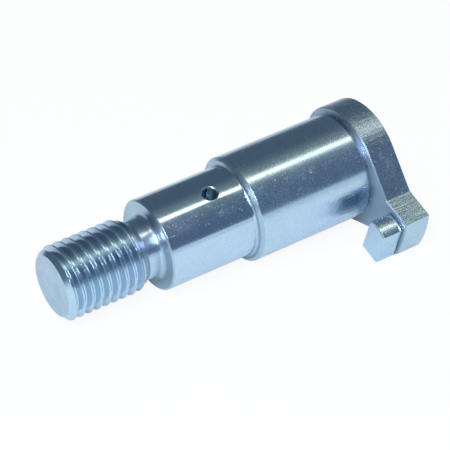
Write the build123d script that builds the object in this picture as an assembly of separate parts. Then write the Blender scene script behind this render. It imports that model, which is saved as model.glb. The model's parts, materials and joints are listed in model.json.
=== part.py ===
from build123d import *
from math import acos, atan2, cos, hypot, radians, sin, sqrt, tan
import os

# Threaded pivot pin with a keyed head, turned and milled in one piece from steel bar.
#
# The pin is drawn in the lathe's frame, in millimetres: z runs along its axis from the first
# shoulder, with the thread at minus and the head at plus; x points along the head's arm.
# At the end it is laid down as it comes to rest, with +X towards the head and +Z up.

# ---- Driving sizes: thread ----
thread_diameter = 24.0
thread_pitch = 3.0
threaded_end_length = 34.2          # end face to the first shoulder
end_face_diameter = 20.0            # what the 45 degree lead chamfer leaves flat

# ---- Driving sizes: neck behind the thread (run-out undercut for this pitch) ----
neck_diameter = 19.6
neck_width = 9.0                    # first shoulder to the last full crest
neck_runout_angle = 30.0            # slope from the neck up to the crests, to the axis
neck_fillet = 1.6

# ---- Driving sizes: journals and shoulders ----
journal_diameter = 30.0
journal_length = 31.0
journal_chamfer = 0.5
shoulder_fillet = 0.8
body_diameter = 35.0
body_length = 42.4                  # second shoulder to the head
body_chamfer = 1.0
body_end_chamfer = 0.25             # at the relief groove
relief_width = 1.3                  # grinding relief against the head
relief_depth = 0.4

# ---- Driving sizes: oil hole ----
oil_hole_diameter = 5.0
oil_hole_distance = 20.3            # first shoulder to the hole's centre
oil_hole_depth = 12.0
oil_hole_chamfer = 0.3
drill_point_angle = 118.0

# ---- Driving sizes: head ----
head_thickness = 9.6
hub_radius = 19.5
tip_radius = 35.0                   # end of the arm, left turned
tip_width = 15.5
flank_angle = 56.0                  # from the arm to each flank's normal
head_chamfer = 0.35

# ---- Driving sizes: lug on the head's front face ----
lug_height = 7.6
lug_inner_distance = 26.1           # pin axis to the lug's inner side
lug_outer_distance = 33.8
lug_width = 12.8                    # from the arm's far side, at the lug's ends
lug_crown = 0.8                     # rise of its curved side
lug_corner_radius = 1.6
lug_chamfer = 0.3

# ---- Clearances of the cutting solids ----
thread_bite = 0.1                   # of the thread's ridge into the core under it
crest_clearance = 0.15              # of the envelope that trims the thread's two ends
through = 1.0                       # of a cutter past a face, or of a boss into its root

# ---- Sizes worked out from these ----
thread_radius = thread_diameter / 2
neck_radius = neck_diameter / 2
journal_radius = journal_diameter / 2
body_radius = body_diameter / 2
end_z = -threaded_end_length
neck_runout_slope = tan(radians(neck_runout_angle))
head_front = journal_length + body_length
head_back = head_front + head_thickness
lug_front = head_front - lug_height

# ISO 68-1 basic profile of an external thread
thread_triangle = thread_pitch * sqrt(3) / 2
thread_depth = thread_triangle * 17 / 24
root_radius = thread_radius - thread_depth
crest_width = thread_pitch / 8
flank_slope = tan(radians(30.0))


def lead_chamfer_z(radius):
    """Where the chamfer at the thread's end reaches a radius."""
    return end_z + radius - end_face_diameter / 2


def runout_z(radius):
    """Where the slope from the crests down to the neck reaches a radius."""
    return (thread_radius - radius) / neck_runout_slope - neck_width


def turned(*half_section):
    """The solid that a closed half section, as (radius, z) points, makes about the axis."""
    outline = Polyline(*half_section, close=True)
    return revolve(make_face(Plane.XZ * outline), Axis.Z)


def circle_at(solid, radius, z):
    """The round edges of this radius at this height on the axis."""
    rings = solid.edges().filter_by(GeomType.CIRCLE).filter_by_position(Axis.Z, z - 0.01, z + 0.01)
    return [ring for ring in rings if abs(ring.radius - radius) < 0.01]


def threaded_end():
    """A right-handed thread wound on its core, then trimmed to its chamfer, run-out and neck."""
    foot_radius = root_radius - thread_bite
    foot_half = crest_width / 2 + (thread_radius - foot_radius) * flank_slope
    start_z = end_z - foot_half
    finish_z = runout_z(neck_radius) + foot_half
    path = Pos(0, 0, start_z) * Helix(thread_pitch, finish_z - start_z, root_radius)
    ridge_section = Polyline(
        (foot_radius, start_z - foot_half),
        (thread_radius, start_z - crest_width / 2),
        (thread_radius, start_z + crest_width / 2),
        (foot_radius, start_z + foot_half),
        close=True,
    )
    ridge = sweep(make_face(Plane.XZ * ridge_section), path=path, is_frenet=True)
    core_start = start_z - foot_half - through
    core = turned((0, core_start), (root_radius, core_start), (root_radius, through), (0, through))
    neck_start = runout_z(neck_radius)
    clear_radius = thread_radius + crest_clearance
    envelope = turned(
        (0, end_z),
        (end_face_diameter / 2, end_z),
        (clear_radius, lead_chamfer_z(clear_radius)),
        (clear_radius, runout_z(clear_radius)),
        (neck_radius, neck_start),
        (0, neck_start),
    )
    neck = turned((0, neck_start), (neck_radius, neck_start), (neck_radius, through), (0, through))
    return ((core + ridge) & envelope) + neck


def journals():
    """The two bearing diameters, from the first shoulder to the head's front face."""
    steps = turned(
        (0, 0),
        (journal_radius - journal_chamfer, 0),
        (journal_radius, journal_chamfer),
        (journal_radius, journal_length),
        (body_radius - body_chamfer, journal_length),
        (body_radius, journal_length + body_chamfer),
        (body_radius, head_front - relief_width - body_end_chamfer),
        (body_radius - body_end_chamfer, head_front - relief_width),
        (body_radius - relief_depth, head_front - relief_width),
        (body_radius - relief_depth, head_front + through),
        (0, head_front + through),
    )
    return fillet(circle_at(steps, journal_radius, journal_length), shoulder_fillet)


def oil_hole():
    """Drill and countersink for the radial hole, square to the arm."""
    radius = oil_hole_diameter / 2
    floor = journal_radius - oil_hole_depth
    point = floor - radius / tan(radians(drill_point_angle / 2))
    mouth = radius + oil_hole_chamfer
    mouth_floor = sqrt(journal_radius ** 2 - radius ** 2) - oil_hole_chamfer
    outside = journal_radius + through
    drill = turned(
        (0, point),
        (radius, floor),
        (radius, mouth_floor),
        (mouth, mouth_floor + oil_hole_chamfer),
        (mouth, outside),
        (0, outside),
    )
    return Pos(0, 0, oil_hole_distance) * Rot(90, 0, 0) * drill


def head_plate():
    """Round hub with two straight flanks that run out to a parallel-sided tip."""
    tip_half = tip_width / 2
    normal = radians(flank_angle)
    tangent_x = hub_radius * cos(normal)
    tangent_y = hub_radius * sin(normal)
    kink_x = (hub_radius - tip_half * sin(normal)) / cos(normal)
    flanks = make_face(Polyline(
        (tangent_x, tangent_y),
        (kink_x, tip_half),
        (kink_x, -tip_half),
        (tangent_x, -tangent_y),
        close=True,
    ))
    bar = Rectangle(tip_radius + through, tip_width, align=(Align.MIN, Align.CENTER))
    tip = bar & Circle(tip_radius)
    outline = Circle(hub_radius) + flanks + tip
    plate = extrude(Pos(0, 0, head_front) * outline, head_thickness)
    rims = plate.faces().filter_by(Plane.XY).edges()
    return chamfer(rims, head_chamfer)


def head_lug():
    """Drive lug near the tip: flush with the arm's far side, its near side crowned."""
    far_side = tip_width / 2
    near_side = far_side - lug_width
    middle = (lug_inner_distance + lug_outer_distance) / 2
    sides = Polyline(
        (lug_inner_distance, near_side),
        (lug_inner_distance, far_side),
        (lug_outer_distance, far_side),
        (lug_outer_distance, near_side),
    )
    crown = ThreePointArc(sides @ 1, (middle, near_side - lug_crown), sides @ 0)
    section = make_face([*sides.edges(), crown])
    inner_corner = section.vertices().sort_by(Axis.Y)[:2].sort_by(Axis.X)[0]
    section = fillet(inner_corner, lug_corner_radius)
    lug = extrude(Pos(0, 0, lug_front) * section, lug_height + through)
    return chamfer(lug.faces().sort_by(Axis.Z)[0].edges(), lug_chamfer)


def resting_floor():
    """The floor in the lathe's frame: it touches the body's shoulder, the hub and the lug.

    The pin's axis rises towards the head, because the hub is larger than the body, and the pin
    rolls until the lug's outer corner meets the floor. The thread hangs clear.
    """
    body_touch_z = journal_length + body_chamfer
    hub_touch_z = head_front + head_chamfer
    rise = atan2(hub_radius - body_radius, hub_touch_z - body_touch_z)
    lug_touch_z = lug_front + lug_chamfer
    lug_drop = hub_radius - (hub_touch_z - lug_touch_z) * tan(rise)
    corner_distance = hypot(lug_outer_distance, tip_width / 2)
    corner_bearing = atan2(tip_width / 2, lug_outer_distance)
    down_bearing = corner_bearing + acos(lug_drop / corner_distance)
    down = Vector(cos(down_bearing), sin(down_bearing), 0)
    along = Vector(0, 0, 1)
    up = along * sin(rise) - down * cos(rise)
    forward = along * cos(rise) + down * sin(rise)
    touch = along * hub_touch_z + down * hub_radius
    return Plane(origin=touch, x_dir=forward, z_dir=up)


def pivot_pin():
    """The whole pin, lying on Z = 0 with its box centred on the origin."""
    pin = journals() + head_plate() + head_lug() - oil_hole()
    pin = pin + threaded_end()
    pin = fillet(circle_at(pin, neck_radius, 0), neck_fillet)
    pin = resting_floor().to_local_coords(pin)
    middle = pin.bounding_box().center()
    return Pos(-middle.X, -middle.Y, 0) * pin


os.makedirs("parts", exist_ok=True)
export_step(pivot_pin(), "parts/pivot_pin.step")
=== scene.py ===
import json
import math
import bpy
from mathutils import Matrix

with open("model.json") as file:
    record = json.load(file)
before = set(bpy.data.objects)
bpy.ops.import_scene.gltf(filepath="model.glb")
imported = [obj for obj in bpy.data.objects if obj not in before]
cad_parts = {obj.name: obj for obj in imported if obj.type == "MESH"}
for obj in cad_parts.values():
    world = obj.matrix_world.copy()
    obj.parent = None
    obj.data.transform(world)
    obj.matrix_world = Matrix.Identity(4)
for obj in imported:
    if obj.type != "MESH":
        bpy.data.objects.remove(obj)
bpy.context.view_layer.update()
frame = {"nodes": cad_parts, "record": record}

from types import SimpleNamespace

import bpy
from bpy.props import FloatProperty, FloatVectorProperty
from mathutils import Euler, Matrix, Vector

bl_info = {
    "name": "Cam-head pivot pin",
    "version": (1, 0, 0),
    "blender": (4, 5, 0),
    "location": "View3D > Sidebar > Pivot Pin",
    "description": "Machined steel finish and a small studio for a turned pivot pin with a cam head",
    "category": "Material",
}

PIN = "pivot_pin"
MM = 0.001


def mount(name):
    """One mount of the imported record, by its name."""
    return next(item for item in frame["record"]["mounts"] if item["name"] == name)


# The pin's axis from the thread to the head, and where the first shoulder crosses it
AXIS = -Vector(mount("journal")["axis"]).normalized()
AXIS_POINT = Vector(mount("journal")["pos_m"])
ORIGIN = AXIS_POINT + AXIS * (Vector(mount("first_shoulder")["pos_m"]) - AXIS_POINT).dot(AXIS)


def distance_along(name):
    """How far a mount is along the pin from the first shoulder, in metres."""
    return (Vector(mount(name)["pos_m"]) - ORIGIN).dot(AXIS)


def lathe_frame():
    """The matrix from the object's frame to one with the pin's axis on z and the head's arm on x."""
    head = Vector(mount("head_seat")["pos_m"]) - ORIGIN
    arm = (head - AXIS * head.dot(AXIS)).normalized()
    turn = Matrix((arm, AXIS.cross(arm), AXIS))
    return Matrix.Translation(-(turn @ ORIGIN)) @ turn.to_4x4()


# Where each finish starts, in metres: along the pin, or out along the arm for the lug. The mounts of
# the thread and the journal are at their middles. The crease is the corner between plate and lug, which gets
# painted shade and a rougher finish.
NECK_START = distance_along("thread") + mount("thread")["dims"]["length_mm"] * MM / 2
BODY_START = 2 * distance_along("journal")
HEAD_FRONT = distance_along("head_seat")
LUG_START = 0.0240
RELIEF_START = HEAD_FRONT - 0.0012
CREASE_FRONT = HEAD_FRONT - 0.0004
CREASE_BACK = HEAD_FRONT - 0.00002
CREASE_INNER = LUG_START - 0.0009

# Widths over which one finish gives way to the next, in metres
ZONE_BLEND = 0.0002
RELIEF_BLEND = 0.0004
CREASE_BLEND = 0.0005
CREASE_BACK_BLEND = 0.00003

# How squarely a surface has to look along the pin to count as a face, as the cosine at which that
# starts and at which it is full. The thread's flanks are at 0.87 and don't count.
FACE_START, FACE_FULL = 0.35, 0.6
THREAD_FACE_START, THREAD_FACE_FULL = 0.92, 0.97

# The marks' patterns. Scales are in repeats to a metre, and a pattern of lines has one for each axis
# of the lathe's frame. An edge is the pair of levels between which a mark fades in or out. A set of
# scratches has the turn of its lines, in radians, and the offset of its patches, in metres.
RING_SCALE = 2400.0
RING_WANDER = 0.6                       # how much the rings change round the pin, in repeats
GRINDING_STRETCH = (30.0, 30.0, 3500.0)
CUTTER_STRETCH = (1500.0, 1500.0, 110.0)
GRAIN_SCALE = 1700.0
CLOUD_SCALE = 130.0
FILM_SCALE = 48.0
FILM_EDGE = (0.38, 0.66)
SCRATCH_STRETCH = (1300.0, 1300.0, 90.0)
SCRATCH_WIDTH = (0.01, 0.04)
SCRATCH_PATCH_SCALE = 420.0
SCRATCH_PATCH_EDGE = (0.74, 0.82)
SCRATCH_SETS = (((0.9, 0.2, 0.3), 0.1), ((0.1, 0.8, 0.9), 0.3))
PIT_SCALE = 700.0
PIT_EDGE = (0.08, 0.24)
PIT_CROWD_SCALE = 150.0
PIT_CROWD_EDGE = (0.52, 0.64)
PITS_LEFT_OUT = (0.95, 0.78)            # as a share, where they are sparse and where they crowd
PITS_LEFT_OUT_MILLED = 0.6
DUST_SCALE = 1500.0
DUST_EDGE = (0.12, 0.40)
DUST_CROWD_SCALE = 95.0
DUST_CROWD_EDGE = (0.42, 0.62)
DUST_LEFT_OUT = (0.93, 0.62)

# Heights of the marks and radii of small edges, in metres
FACE_RING_HEIGHT = 4.0e-6
GROUND_RING_HEIGHT = 1.0e-6
GRINDING_HEIGHT = 3.0e-7
PLATE_CUTTER_HEIGHT = 6.5e-5
LUG_CUTTER_HEIGHT = 2.0e-5
GROUND_GRAIN_HEIGHT = 3.0e-6
HEAD_GRAIN_HEIGHT = 1.4e-5
MARK_DEPTH = 5.0e-7
HEAD_EDGE_BREAK = 0.0001
EDGE_SAMPLES = 8

# Roughness of small places, and the factors that clouding and grain put on it at two levels of noise
RELIEF_ROUGHNESS = 0.28
CREASE_ROUGHNESS = 0.6
LUG_SHARE_OF_MILLED = 0.75
CLOUD_NOISE, CLOUD_ROUGHNESS = (0.3, 0.7), (0.88, 1.15)
GRAIN_NOISE, GRAIN_ROUGHNESS = (0.35, 0.7), (0.93, 1.2)

# Factors of the steel's colour: two for the grain's levels of noise, then one for each place. The places'
# factors are painted shade, and painted glints on the milled edge's pits
SHADE_NOISE, GRAIN_SHADE = (0.3, 0.7), (0.95, 1.05)
# Painted shade: the head plate is darker all over
PLATE_PAINTED_SHADE = 0.92
# Painted shade: the end, the shoulder faces and the plate's faces, which look along the pin, are darker
FACE_PAINTED_SHADE = 0.85
# Painted shade: the relief groove next to the head is darker
RELIEF_PAINTED_SHADE = 0.6
# Painted shade: the crease between plate and lug is much darker
CREASE_PAINTED_SHADE = 0.35
# Painted glints: the pits on the milled edge are real dents, and their colour is also brightened
MILLED_PIT_PAINTED_GLINT = 1.4

# The surroundings, by a direction's height (Z) and side (Y): where each part starts and ends
HORIZON_SIDES = (-0.3, 0.5)
HORIZON_BLEND = 0.004
ROOM_SIDES = (-0.9, 0.1)
UPPER_ROOM = (0.3, 0.7)
STRIP_SIDE = -0.05
CEILING_SIDES = (0.05, 0.55)            # to either side of the strip light
SPILL_SIDES = (-0.33, -0.12)
SPILL_END = (-0.1, 0.0)
NEAR_ROOM_COLOR = (0.116, 0.168, 0.248)
CEILING_COLOR = (0.27, 0.325, 0.315)
SPILL_COLOR = (0.59, 0.70, 0.78)
HORIZON_COLOR = (0.80, 0.95, 1.07)
SOFT_LIGHT_COLOR = (0.84, 0.95, 1.0)

# The table, with its shares of plain white to the camera and in bright steel
TABLE_SHOWN_WHITE = 0.9
TABLE_MIRRORED_WHITE = 0.15
TABLE_CUTS = 3
MOTTLE_SCALE = 9.0
MOTTLE_NOISE, TABLE_ROUGHNESS = (0.3, 0.7), (0.75, 0.9)


class PinFinish(bpy.types.PropertyGroup):
    steel_color: FloatVectorProperty(
        name="Steel", description="Colour that the bright steel reflects",
        subtype="COLOR", size=3, min=0.0, max=1.0, default=(0.48, 0.63, 0.755))
    film_color: FloatVectorProperty(
        name="Oil film", description="Colour where a thin oil film lies on the steel",
        subtype="COLOR", size=3, min=0.0, max=1.0, default=(0.51, 0.63, 0.785))
    ground_roughness: FloatProperty(
        name="Ground journal", description="Roughness of the smaller ground journal",
        subtype="FACTOR", min=0.02, max=1.0, default=0.18)
    ground_grain: FloatProperty(
        name="Journal grain", description="How strongly the journal's grinding lines run one way",
        subtype="FACTOR", min=0.0, max=1.0, default=0.79)
    body_roughness: FloatProperty(
        name="Ground body", description="Roughness of the larger ground diameter",
        subtype="FACTOR", min=0.02, max=1.0, default=0.2225)
    body_grain: FloatProperty(
        name="Body grain", description="How strongly the body's grinding lines run one way",
        subtype="FACTOR", min=0.0, max=1.0, default=0.56)
    thread_roughness: FloatProperty(
        name="Thread", description="Roughness of the thread",
        subtype="FACTOR", min=0.02, max=1.0, default=0.215)
    thread_grain: FloatProperty(
        name="Thread grain", description="How strongly the thread's cutting lines run one way",
        subtype="FACTOR", min=0.0, max=1.0, default=0.6)
    neck_roughness: FloatProperty(
        name="Neck", description="Roughness of the turned neck and its fillet",
        subtype="FACTOR", min=0.02, max=1.0, default=0.30)
    face_roughness: FloatProperty(
        name="Turned faces", description="Roughness of the end and the two shoulder faces",
        subtype="FACTOR", min=0.02, max=1.0, default=0.33)
    plate_roughness: FloatProperty(
        name="Plate faces", description="Roughness of the head plate's front and back",
        subtype="FACTOR", min=0.02, max=1.0, default=0.46)
    milled_roughness: FloatProperty(
        name="Milled edge", description="Roughness of the cam plate's edge and the lug",
        subtype="FACTOR", min=0.02, max=1.0, default=0.26)
    tool_grain: FloatProperty(
        name="Tool grain", description="How strongly the turning and milling lines run one way",
        subtype="FACTOR", min=0.0, max=1.0, default=0.72)
    edge_break: FloatProperty(
        name="Edge break", description="Radius by which handling has rounded the sharp edges",
        subtype="DISTANCE", unit="LENGTH", min=0.0, default=0.0002)
    crest_break: FloatProperty(
        name="Crest break", description="Radius of the thread's crests and roots",
        subtype="DISTANCE", unit="LENGTH", min=0.0, default=0.0002)
    scratch_roughness: FloatProperty(
        name="Scratches", description="How much rougher a scratch or handling mark is",
        subtype="FACTOR", min=0.0, max=1.0, default=0.28)
    dust_roughness: FloatProperty(
        name="Dust", description="How much rougher the steel looks under a speck of dust",
        subtype="FACTOR", min=0.0, max=1.0, default=0.12)


class PinStudio(bpy.types.PropertyGroup):
    floor_size: FloatProperty(
        name="Table", description="Width of the white table",
        subtype="DISTANCE", unit="LENGTH", min=1.0, default=8.0)
    floor_color: FloatVectorProperty(
        name="Table colour", description="Colour of the table",
        subtype="COLOR", size=3, min=0.0, max=1.0, default=(0.82, 0.86, 0.885))
    room_color: FloatVectorProperty(
        name="Room", description="Colour of the unlit room that the steel reflects",
        subtype="COLOR", size=3, min=0.0, max=1.0, default=(0.104, 0.142, 0.182))
    horizon: FloatProperty(
        name="Horizon", description="Angle above level up to which the surroundings are as pale as the table",
        subtype="ANGLE", unit="ROTATION", default=math.radians(5.0))
    soft_light: FloatProperty(
        name="Soft light", description="Strength of the even light on matt surfaces",
        min=0.0, default=0.58)
    strip_radiance: FloatProperty(
        name="Strip light", description="Brightness of the overhead strip light",
        min=0.0, default=2.4)
    key_radiance: FloatProperty(
        name="Key light", description="Brightness of the small softbox beside the camera",
        min=0.0, default=42.0)
    azimuth: FloatProperty(
        name="Camera azimuth", description="Direction of the camera's view, from the pin's long side",
        subtype="ANGLE", unit="ROTATION", default=math.radians(56.85))
    elevation: FloatProperty(
        name="Camera elevation", description="Height angle of the camera above the table",
        subtype="ANGLE", unit="ROTATION", default=math.radians(34.03))
    roll: FloatProperty(
        name="Camera roll", description="Turn of the picture about the camera's view",
        subtype="ANGLE", unit="ROTATION", default=math.radians(-0.6))
    distance: FloatProperty(
        name="Camera distance", description="From the camera to the point that it looks at",
        subtype="DISTANCE", unit="LENGTH", min=0.1, default=0.690)
    lens: FloatProperty(
        name="Lens", description="Focal length on a 36 mm sensor",
        subtype="DISTANCE_CAMERA", min=10.0, default=172.7)
    aim: FloatVectorProperty(
        name="Aim", description="Point that the camera looks at",
        subtype="TRANSLATION", unit="LENGTH", size=3, default=(0.0078, 0.0135, 0.0080))


class NodeTree:
    """Adds nodes to a tree and joins them, with plain values set on the sockets themselves."""

    # Factor, first input, second input and output of each kind of Mix node
    MIX_SOCKETS = {"FLOAT": (0, 2, 3, 0), "VECTOR": (0, 4, 5, 1), "RGBA": (0, 6, 7, 2)}

    def __init__(self, tree):
        self.tree = tree
        tree.nodes.clear()

    def add(self, kind, inputs=(), **settings):
        """A new node with its settings made and its inputs plugged."""
        node = self.tree.nodes.new(kind)
        for name, value in settings.items():
            setattr(node, name, value)
        for socket, value in dict(inputs).items():
            self.plug(node.inputs[socket], value)
        return node

    def plug(self, socket, value):
        """Links another socket to this one, or sets a plain value on it."""
        if isinstance(value, bpy.types.NodeSocket):
            self.tree.links.new(value, socket)
        elif socket.type == "RGBA":
            socket.default_value = (*value, 1.0)
        else:
            socket.default_value = value

    def math(self, operation, *values, clamp=False):
        """The result of one Math node."""
        return self.add("ShaderNodeMath", enumerate(values), operation=operation, use_clamp=clamp).outputs[0]

    def product(self, first, *others):
        """All the values multiplied together."""
        for other in others:
            first = self.math("MULTIPLY", first, other)
        return first

    def inverse(self, value):
        """1 where the value is 0, and 0 where it is 1."""
        return self.math("SUBTRACT", 1.0, value)

    def vector(self, operation, first, second):
        """A Vector Math node for two vectors."""
        return self.add("ShaderNodeVectorMath", {0: first, 1: second}, operation=operation)

    def step(self, value, low, high, start=0.0, end=1.0):
        """Goes smoothly from start to end as value goes from low to high."""
        inputs = {"Value": value, "From Min": low, "From Max": high, "To Min": start, "To Max": end}
        return self.add("ShaderNodeMapRange", inputs, interpolation_type="SMOOTHSTEP").outputs[0]

    def noise(self, vector, scale, detail=2.0, roughness=0.5):
        """Soft noise from 0 to 1."""
        inputs = {"Vector": vector, "Scale": scale, "Detail": detail, "Roughness": roughness}
        return self.add("ShaderNodeTexNoise", inputs).outputs["Fac"]

    def spots(self, vector, scale, edge, channel, left_out):
        """Round spots, one to a cell, with a share of them left out by chance."""
        cells = self.add("ShaderNodeTexVoronoi", {"Vector": vector, "Scale": scale, "Randomness": 1.0})
        chance = self.add("ShaderNodeSeparateColor", {"Color": cells.outputs["Color"]}).outputs[channel]
        chosen = self.math("GREATER_THAN", chance, left_out)
        return self.product(self.step(cells.outputs["Distance"], *edge, 1.0, 0.0), chosen)

    def stretch(self, vector, scale, turn=(0.0, 0.0, 0.0)):
        """The vector scaled and turned."""
        inputs = {"Vector": vector, "Scale": scale, "Rotation": turn}
        return self.add("ShaderNodeMapping", inputs).outputs[0]

    def mix(self, factor, first, second, kind="FLOAT"):
        """First where the factor is 0, second where it is 1."""
        share, one, other, result = self.MIX_SOCKETS[kind]
        inputs = {share: factor, one: first, other: second}
        return self.add("ShaderNodeMix", inputs, data_type=kind).outputs[result]


def pin_zones(tree):
    """The place on the pin, and how much each zone's finish shows there, from 0 to 1."""
    lathe = lathe_frame()
    position = tree.add("ShaderNodeTexCoord").outputs["Object"]
    place = {"Vector": position, "Location": lathe.translation, "Rotation": lathe.to_euler()}
    on_pin = tree.add("ShaderNodeMapping", place).outputs[0]
    arm, side, along = tree.add("ShaderNodeSeparateXYZ", {"Vector": on_pin}).outputs

    normal = tree.add("ShaderNodeNewGeometry").outputs["True Normal"]
    facing = tree.math("ABSOLUTE", tree.vector("DOT_PRODUCT", normal, tuple(AXIS)).outputs["Value"])
    past_neck = tree.step(along, NECK_START - ZONE_BLEND, NECK_START)
    face_start = tree.mix(past_neck, THREAD_FACE_START, FACE_START)
    face_full = tree.mix(past_neck, THREAD_FACE_FULL, FACE_FULL)
    end_on = tree.step(facing, face_start, face_full)

    past_shoulder = tree.step(along, -ZONE_BLEND / 2, ZONE_BLEND / 2)
    on_body = tree.step(along, BODY_START - ZONE_BLEND / 2, BODY_START + ZONE_BLEND / 2)
    on_plate = tree.step(along, HEAD_FRONT - ZONE_BLEND, HEAD_FRONT)
    on_lug = tree.step(arm, LUG_START - ZONE_BLEND, LUG_START)
    on_head = tree.math("MAXIMUM", on_plate, on_lug)
    in_relief = tree.step(along, RELIEF_START - RELIEF_BLEND, RELIEF_START)
    near_head = tree.math("MAXIMUM", in_relief, on_lug)
    edge = tree.product(on_head, tree.inverse(end_on))
    crease = tree.product(
        tree.step(arm, CREASE_INNER - CREASE_BLEND, CREASE_INNER),
        tree.step(along, CREASE_FRONT - CREASE_BLEND, CREASE_FRONT),
        tree.step(along, CREASE_BACK - CREASE_BACK_BLEND, CREASE_BACK, 1.0, 0.0))
    lug_only = tree.math("SUBTRACT", on_lug, on_plate, clamp=True)
    return SimpleNamespace(
        position=position, on_pin=on_pin, arm=arm, side=side, along=along,
        past_neck=past_neck, past_shoulder=past_shoulder, on_body=on_body,
        on_plate=on_plate, on_lug=on_lug, on_head=on_head, near_head=near_head,
        end_on=end_on, edge=edge, crease=crease,
        # The relief groove, which gets painted shade
        relief=tree.product(near_head, tree.inverse(on_head)),
        # The faces that look along the pin, apart from the lug's front, get painted shade
        painted_shade_face=tree.product(end_on, tree.inverse(lug_only)))


def grain_direction(tree, zones):
    """Round the pin where it is turned, and along it on the thread and the milled edge."""
    outward = tree.vector("SUBTRACT", zones.position, tuple(AXIS_POINT)).outputs[0]
    round_pin = tree.vector("CROSS_PRODUCT", tuple(AXIS), outward).outputs[0]
    along_pin = tree.math("MAXIMUM", zones.edge, tree.inverse(zones.past_neck))
    return tree.mix(along_pin, round_pin, tuple(AXIS), "VECTOR")


def grain_strength(tree, zones, finish):
    """How strongly each finish runs one way."""
    strength = tree.mix(zones.past_neck, finish.thread_grain, finish.tool_grain)
    strength = tree.mix(zones.past_shoulder, strength, finish.ground_grain)
    strength = tree.mix(zones.on_body, strength, finish.body_grain)
    return tree.mix(tree.math("MAXIMUM", zones.end_on, zones.on_head), strength, finish.tool_grain)


def turned_rings(tree, zones):
    """The feed lines that a turning tool leaves round the pin."""
    arm, side, along = zones.arm, zones.side, zones.along
    radius = tree.math("SQRT", tree.math("ADD", tree.product(arm, arm), tree.product(side, side)))
    around = tree.math("ARCTAN2", side, arm)
    rings = tree.add("ShaderNodeCombineXYZ", {
        "X": tree.product(radius, RING_SCALE),
        "Y": tree.product(along, RING_SCALE),
        "Z": tree.product(tree.math("SINE", around), RING_WANDER),
    }).outputs[0]
    return tree.noise(rings, 1.0, detail=3.0, roughness=0.6)


def scratches(tree, on_pin, turn, offset):
    """Short fine lines, in patches."""
    lines = tree.noise(tree.stretch(on_pin, SCRATCH_STRETCH, turn), 1.0, detail=0.0)
    from_line = tree.math("ABSOLUTE", tree.math("SUBTRACT", lines, 0.5))
    moved = tree.vector("ADD", on_pin, (offset, offset, offset)).outputs[0]
    patches = tree.noise(moved, SCRATCH_PATCH_SCALE, detail=0.0)
    return tree.product(tree.step(from_line, *SCRATCH_WIDTH, 1.0, 0.0),
                        tree.step(patches, *SCRATCH_PATCH_EDGE))


def surface_marks(tree, zones):
    """The patterns of tools, handling, dust and oil on the steel, from 0 to 1."""
    on_pin = zones.on_pin
    both_ways = [scratches(tree, on_pin, turn, offset) for turn, offset in SCRATCH_SETS]
    scratch = tree.product(tree.math("MAXIMUM", *both_ways), zones.past_shoulder)
    pit_crowds = tree.noise(on_pin, PIT_CROWD_SCALE, detail=1.0)
    pits_left_out = tree.mix(
        zones.edge, tree.step(pit_crowds, *PIT_CROWD_EDGE, *PITS_LEFT_OUT), PITS_LEFT_OUT_MILLED)
    pit = tree.spots(on_pin, PIT_SCALE, PIT_EDGE, 0, pits_left_out)
    dust_crowds = tree.noise(on_pin, DUST_CROWD_SCALE)
    dust_left_out = tree.step(dust_crowds, *DUST_CROWD_EDGE, *DUST_LEFT_OUT)
    dust = tree.spots(on_pin, DUST_SCALE, DUST_EDGE, 1, dust_left_out)
    return SimpleNamespace(
        rings=turned_rings(tree, zones),
        grinding=tree.noise(tree.stretch(on_pin, GRINDING_STRETCH), 1.0, detail=3.0, roughness=0.65),
        cutter=tree.noise(tree.stretch(on_pin, CUTTER_STRETCH), 1.0, detail=2.0, roughness=0.6),
        grain=tree.noise(on_pin, GRAIN_SCALE, detail=2.0, roughness=0.6),
        cloud=tree.noise(on_pin, CLOUD_SCALE, detail=4.0, roughness=0.6),
        film=tree.step(tree.noise(on_pin, FILM_SCALE), *FILM_EDGE),
        pit=pit,
        dust=tree.product(dust, zones.past_shoulder),
        handled=tree.math("MAXIMUM", scratch, tree.product(pit, zones.past_shoulder)))


def surface_roughness(tree, zones, marks, finish):
    """The roughness of each finish, then its clouding and marks."""
    faces = tree.mix(zones.on_plate, finish.face_roughness, finish.plate_roughness)
    milled = tree.product(tree.mix(zones.on_lug, 1.0, LUG_SHARE_OF_MILLED), finish.milled_roughness)
    rough = tree.mix(zones.past_neck, finish.thread_roughness, finish.neck_roughness)
    rough = tree.mix(zones.past_shoulder, rough, finish.ground_roughness)
    rough = tree.mix(zones.on_body, rough, finish.body_roughness)
    rough = tree.mix(zones.end_on, rough, faces)
    rough = tree.mix(zones.near_head, rough, RELIEF_ROUGHNESS)
    rough = tree.mix(zones.on_head, rough, faces)
    rough = tree.mix(zones.edge, rough, milled)
    rough = tree.mix(zones.crease, rough, CREASE_ROUGHNESS)

    clouding = tree.step(marks.cloud, *CLOUD_NOISE, *CLOUD_ROUGHNESS)
    graining = tree.mix(zones.past_shoulder, 1.0, tree.step(marks.grain, *GRAIN_NOISE, *GRAIN_ROUGHNESS))
    rough = tree.product(rough, clouding, graining)
    rough = tree.math("ADD", rough, tree.product(marks.dust, finish.dust_roughness))
    return tree.math("ADD", rough, tree.product(marks.handled, finish.scratch_roughness), clamp=True)


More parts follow.
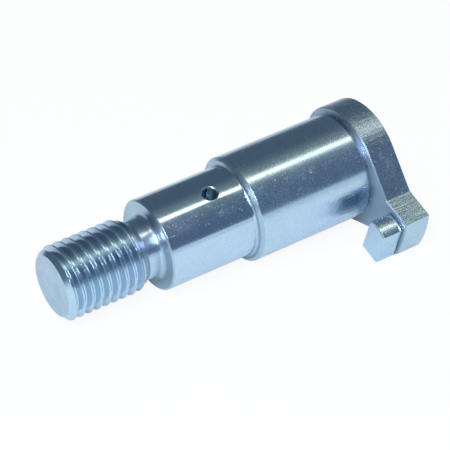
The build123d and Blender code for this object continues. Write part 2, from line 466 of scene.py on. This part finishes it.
def surface_height(tree, zones, marks):
    """In metres: rings and grinding lines on the pin, cutter marks on the head, and small dents."""
    ring_height = tree.mix(
        zones.past_neck, 0.0, tree.mix(zones.end_on, GROUND_RING_HEIGHT, FACE_RING_HEIGHT))
    cutter_height = tree.mix(
        zones.edge, 0.0, tree.mix(zones.on_plate, LUG_CUTTER_HEIGHT, PLATE_CUTTER_HEIGHT))
    grain_height = tree.mix(
        zones.on_head, tree.mix(zones.past_neck, 0.0, GROUND_GRAIN_HEIGHT), HEAD_GRAIN_HEIGHT)
    layers = (
        (marks.rings, ring_height),
        (marks.grinding, tree.mix(zones.on_head, GRINDING_HEIGHT, 0.0)),
        (marks.cutter, cutter_height),
        (marks.grain, grain_height),
    )
    height = tree.product(marks.handled, -MARK_DEPTH)
    for mark, size in layers:
        height = tree.math("ADD", height, tree.product(tree.math("SUBTRACT", mark, 0.5), size))
    return height


def surface_normal(tree, zones, marks, finish):
    """Edges that look slightly rounded, with the marks on top."""
    edge_break = tree.mix(zones.past_neck, finish.crest_break, finish.edge_break)
    edge_break = tree.mix(zones.near_head, edge_break, HEAD_EDGE_BREAK)
    rounded = tree.add("ShaderNodeBevel", {"Radius": edge_break}, samples=EDGE_SAMPLES).outputs[0]
    height = surface_height(tree, zones, marks)
    return tree.add("ShaderNodeBump", {
        "Height": height, "Distance": 1.0, "Strength": 1.0, "Normal": rounded}).outputs[0]


def surface_color(tree, zones, marks, finish):
    """Steel with an oil film in places, with painted shade on the head plate, on the faces that look along
    the pin, in the relief groove and in the crease, and painted glints on the milled edge's pits.
    """
    shade = tree.product(
        tree.step(marks.grain, *SHADE_NOISE, *GRAIN_SHADE),
        # painted shade on the head plate
        tree.mix(zones.on_plate, 1.0, PLATE_PAINTED_SHADE),
        # painted shade on the faces that look along the pin
        tree.mix(zones.painted_shade_face, 1.0, FACE_PAINTED_SHADE),
        # painted shade in the relief groove
        tree.mix(zones.relief, 1.0, RELIEF_PAINTED_SHADE),
        # painted shade in the crease between plate and lug
        tree.mix(zones.crease, 1.0, CREASE_PAINTED_SHADE),
        # painted glints on the milled edge's pits, on top of their real roughness
        tree.mix(tree.product(marks.pit, zones.edge), 1.0, MILLED_PIT_PAINTED_GLINT))
    color = tree.mix(marks.film, finish.steel_color, finish.film_color, "RGBA")
    return tree.add("ShaderNodeVectorMath", {0: color, "Scale": shade}, operation="SCALE").outputs[0]


def machined_steel(finish):
    """Bright steel: ground journals, turned thread and faces, and a milled head."""
    material = bpy.data.materials.new("machined_steel")
    material.use_nodes = True
    tree = NodeTree(material.node_tree)
    zones = pin_zones(tree)
    marks = surface_marks(tree, zones)
    shader = tree.add("ShaderNodeBsdfPrincipled", {
        "Base Color": surface_color(tree, zones, marks, finish),
        "Metallic": 1.0,
        "Roughness": surface_roughness(tree, zones, marks, finish),
        "Normal": surface_normal(tree, zones, marks, finish),
        "Anisotropic": grain_strength(tree, zones, finish),
        "Anisotropic Rotation": 0.25,
        "Tangent": grain_direction(tree, zones),
    })
    tree.add("ShaderNodeOutputMaterial", {"Surface": shader.outputs[0]})
    return material


class PIVOTPIN_OT_steel(bpy.types.Operator):
    """Give the pin its machined steel finish"""
    bl_idname = "pivotpin.steel"
    bl_label = "Machined Steel"

    def execute(self, context):
        steel = machined_steel(context.scene.pin_finish)
        for slot in frame["nodes"][PIN].material_slots:
            slot.material = steel
        return {"FINISHED"}


def seen_by(tree):
    """1 for rays from the camera, and 1 for rays off glossy and clear surfaces."""
    path = tree.add("ShaderNodeLightPath")
    gloss = tree.math("MAXIMUM", path.outputs["Is Glossy Ray"], path.outputs["Is Transmission Ray"])
    return path.outputs["Is Camera Ray"], gloss


def table_top(studio):
    """A matt white table that is white to the camera too, and keeps the pin's shadow."""
    material = bpy.data.materials.new("white_table")
    material.use_nodes = True
    tree = NodeTree(material.node_tree)
    position = tree.add("ShaderNodeTexCoord").outputs["Object"]
    mottle = tree.noise(position, MOTTLE_SCALE, detail=3.0)
    matt = tree.add("ShaderNodeBsdfPrincipled", {
        "Base Color": studio.floor_color,
        "Roughness": tree.step(mottle, *MOTTLE_NOISE, *TABLE_ROUGHNESS),
    })
    glow = tree.add("ShaderNodeEmission", {"Color": (1.0, 1.0, 1.0), "Strength": 1.0})
    camera, gloss = seen_by(tree)
    share = tree.math("MAXIMUM", tree.product(camera, TABLE_SHOWN_WHITE),
                      tree.product(gloss, TABLE_MIRRORED_WHITE))
    surface = tree.add("ShaderNodeMixShader", {0: share, 1: matt.outputs[0], 2: glow.outputs[0]})
    tree.add("ShaderNodeOutputMaterial", {"Surface": surface.outputs[0]})
    return material


def room_around(tree, studio):
    """The colour of the surroundings: a pale horizon, and a dark room lit near the strip light."""
    direction = tree.add("ShaderNodeTexCoord").outputs["Generated"]
    axes = tree.add("ShaderNodeSeparateXYZ", {"Vector": direction}).outputs
    across, up = axes["Y"], axes["Z"]
    upper = tree.step(up, *UPPER_ROOM)
    from_strip = tree.math("ABSOLUTE", tree.math("SUBTRACT", across, STRIP_SIDE))
    ceiling = tree.product(tree.step(from_strip, *CEILING_SIDES, 1.0, 0.0), upper)
    spill = tree.product(tree.step(across, *SPILL_SIDES), tree.step(across, *SPILL_END, 1.0, 0.0), upper)
    room = tree.mix(tree.step(across, *ROOM_SIDES), NEAR_ROOM_COLOR, studio.room_color, "RGBA")
    room = tree.mix(ceiling, room, CEILING_COLOR, "RGBA")
    room = tree.mix(spill, room, SPILL_COLOR, "RGBA")
    horizon = tree.step(across, *HORIZON_SIDES, math.sin(studio.horizon), 0.0)
    above = tree.step(tree.math("SUBTRACT", up, horizon), -HORIZON_BLEND, HORIZON_BLEND)
    return tree.mix(above, HORIZON_COLOR, room, "RGBA")


def surroundings(studio):
    """The room as it is seen and mirrored, and even light for matt surfaces."""
    world = bpy.data.worlds.new("studio")
    world.use_nodes = True
    world.cycles.sampling_method = "NONE"
    tree = NodeTree(world.node_tree)
    soft = tree.add("ShaderNodeBackground", {"Color": SOFT_LIGHT_COLOR, "Strength": studio.soft_light})
    seen = tree.add("ShaderNodeBackground", {"Color": room_around(tree, studio), "Strength": 1.0})
    directly = tree.math("MAXIMUM", *seen_by(tree))
    both = tree.add("ShaderNodeMixShader", {0: directly, 1: soft.outputs[0], 2: seen.outputs[0]})
    tree.add("ShaderNodeOutputWorld", {"Surface": both.outputs[0]})
    return world


def area_light(name, direction, distance, size, radiance, color, long_side):
    """A rectangular lamp seen from the part along direction, with its long side along long_side."""
    lamp = bpy.data.lights.new(name, "AREA")
    lamp.shape = "RECTANGLE"
    lamp.size, lamp.size_y = size
    lamp.energy = radiance * math.pi * size[0] * size[1]
    lamp.color = color
    light = bpy.data.objects.new(name, lamp)
    back = Vector(direction).normalized()
    across = (Vector(long_side) - back * Vector(long_side).dot(back)).normalized()
    turn = Matrix((across, back.cross(across), back)).transposed()
    light.matrix_world = Matrix.Translation(back * distance) @ turn.to_4x4()
    bpy.context.scene.collection.objects.link(light)


def view_camera(studio):
    """The camera, turned to look at the aim point."""
    camera = bpy.data.cameras.new("camera")
    camera.lens = studio.lens
    camera.sensor_width = 36.0
    camera.clip_start = 0.01
    eye = bpy.data.objects.new("camera", camera)
    level = math.cos(studio.elevation)
    view = Vector((level * math.cos(studio.azimuth), level * math.sin(studio.azimuth),
                   -math.sin(studio.elevation)))
    upright = view.to_track_quat("-Z", "Y").to_matrix()
    eye.location = Vector(studio.aim) - view * studio.distance
    eye.rotation_euler = (upright @ Euler((0.0, 0.0, studio.roll)).to_matrix()).to_euler()
    return eye


class PIVOTPIN_OT_stage(bpy.types.Operator):
    """Set up the white table, the lights and the camera"""
    bl_idname = "pivotpin.stage"
    bl_label = "Table, Lights and Camera"

    def execute(self, context):
        studio = context.scene.pin_studio
        bpy.ops.object.select_all(action="DESELECT")
        bpy.ops.mesh.primitive_plane_add(size=studio.floor_size, location=(0.0, 0.0, 0.0))
        table = context.object
        table.name = "table"
        bpy.ops.object.mode_set(mode="EDIT")
        bpy.ops.mesh.subdivide(number_cuts=TABLE_CUTS)
        bpy.ops.object.mode_set(mode="OBJECT")
        table.data.materials.append(table_top(studio))

        context.scene.world = surroundings(studio)
        area_light("strip", direction=(0.05, -0.105, 0.885), distance=1.1, size=(1.36, 0.155),
                   radiance=studio.strip_radiance, color=(1.0, 0.90, 0.62), long_side=(1.0, 0.0, 0.0))
        area_light("softbox", direction=(-0.45, -0.55, 0.69), distance=0.8, size=(0.34, 0.12),
                   radiance=studio.key_radiance, color=(0.88, 0.95, 1.0), long_side=(0.0, 0.78, 0.62))

        eye = view_camera(studio)
        context.scene.collection.objects.link(eye)
        context.scene.camera = eye
        context.scene.view_settings.view_transform = "Standard"
        return {"FINISHED"}


class PIVOTPIN_PT_panel(bpy.types.Panel):
    bl_idname = "PIVOTPIN_PT_panel"
    bl_label = "Pivot Pin"
    bl_space_type = "VIEW_3D"
    bl_region_type = "UI"
    bl_category = "Pivot Pin"

    def draw(self, context):
        groups = (
            (context.scene.pin_finish, PIVOTPIN_OT_steel),
            (context.scene.pin_studio, PIVOTPIN_OT_stage),
        )
        for settings, operator in groups:
            box = self.layout.box()
            for name in settings.__annotations__:
                box.prop(settings, name)
            box.operator(operator.bl_idname)


CLASSES = (PinFinish, PinStudio, PIVOTPIN_OT_steel, PIVOTPIN_OT_stage, PIVOTPIN_PT_panel)


def register():
    for item in CLASSES:
        bpy.utils.register_class(item)
    bpy.types.Scene.pin_finish = bpy.props.PointerProperty(type=PinFinish)
    bpy.types.Scene.pin_studio = bpy.props.PointerProperty(type=PinStudio)


def unregister():
    del bpy.types.Scene.pin_studio
    del bpy.types.Scene.pin_finish
    for item in reversed(CLASSES):
        bpy.utils.unregister_class(item)


def main():
    register()
    bpy.ops.pivotpin.steel()
    bpy.ops.pivotpin.stage()


if __name__ == "__main__":
    main()
